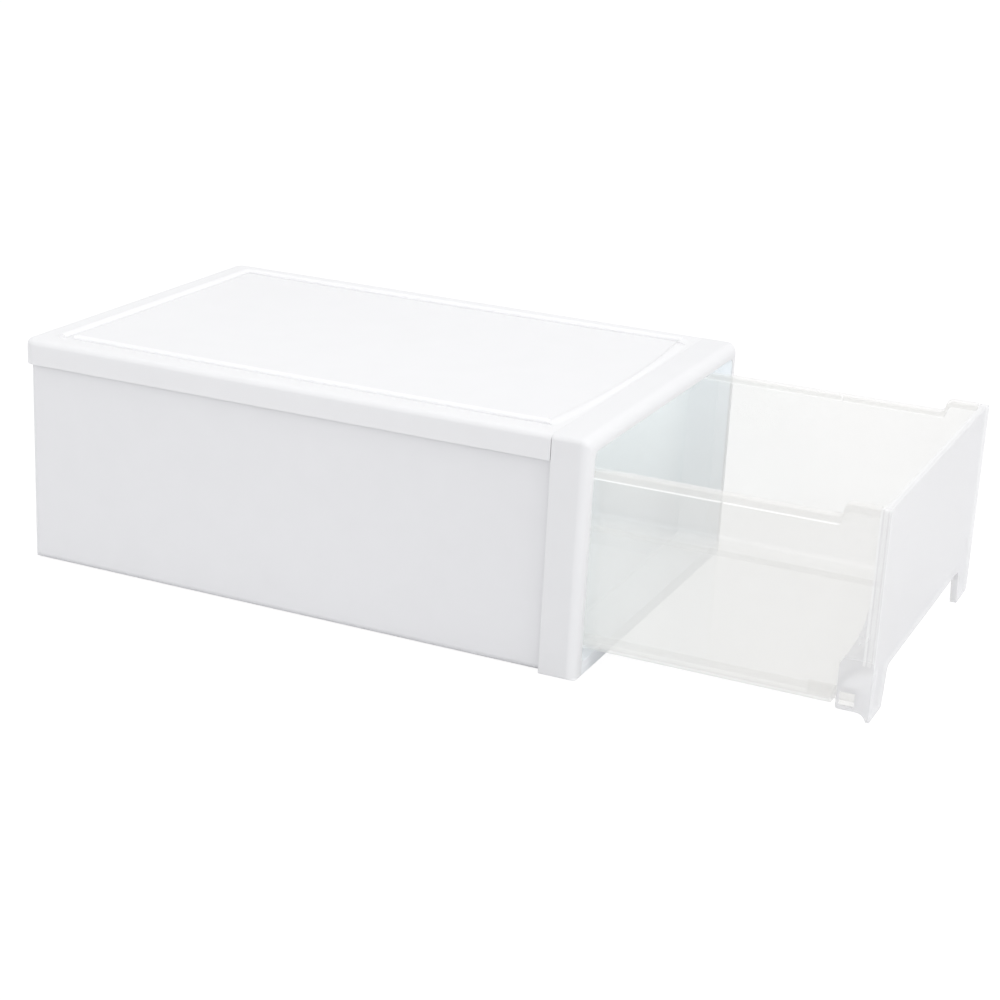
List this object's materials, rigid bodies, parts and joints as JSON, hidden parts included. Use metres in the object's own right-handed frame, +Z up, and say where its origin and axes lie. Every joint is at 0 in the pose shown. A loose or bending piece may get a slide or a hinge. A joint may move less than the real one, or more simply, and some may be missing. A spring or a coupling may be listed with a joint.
{
  "type": "stackable drawer box",
  "caption": "White stackable storage box with one clear pull-out drawer, a pressed-on cover with stacking ribs and a rounded front frame.",
  "frame": {"origin": "on the standing surface, under the middle of the case's underside", "axes": "+X to the right seen from the front, +Y from the front to the back, +Z up; the drawer pulls out along -Y"},
  "size_m": [0.34, 0.7285, 0.195],
  "materials": {
    "case_white": "satin moulded polypropylene",
    "cover_white": "satin moulded polypropylene",
    "frame_white": "satin moulded polypropylene",
    "tray_clear": "clear glossy moulding, faintly milky",
    "panel_clear": "clear glossy moulding, faintly milky"
  },
  "bodies": {
    "case": {"case_body": "case_white", "top_cover": "cover_white", "front_frame": "frame_white"},
    "drawer": {"drawer_tray": "tray_clear", "drawer_front": "panel_clear"}
  },
  "joints": [
    {"name": "drawer_slide", "type": "slide", "parent": "case", "child": "drawer", "axis": [0, -1, 0], "range_m": [-0.226, 0.134]}
  ]
}
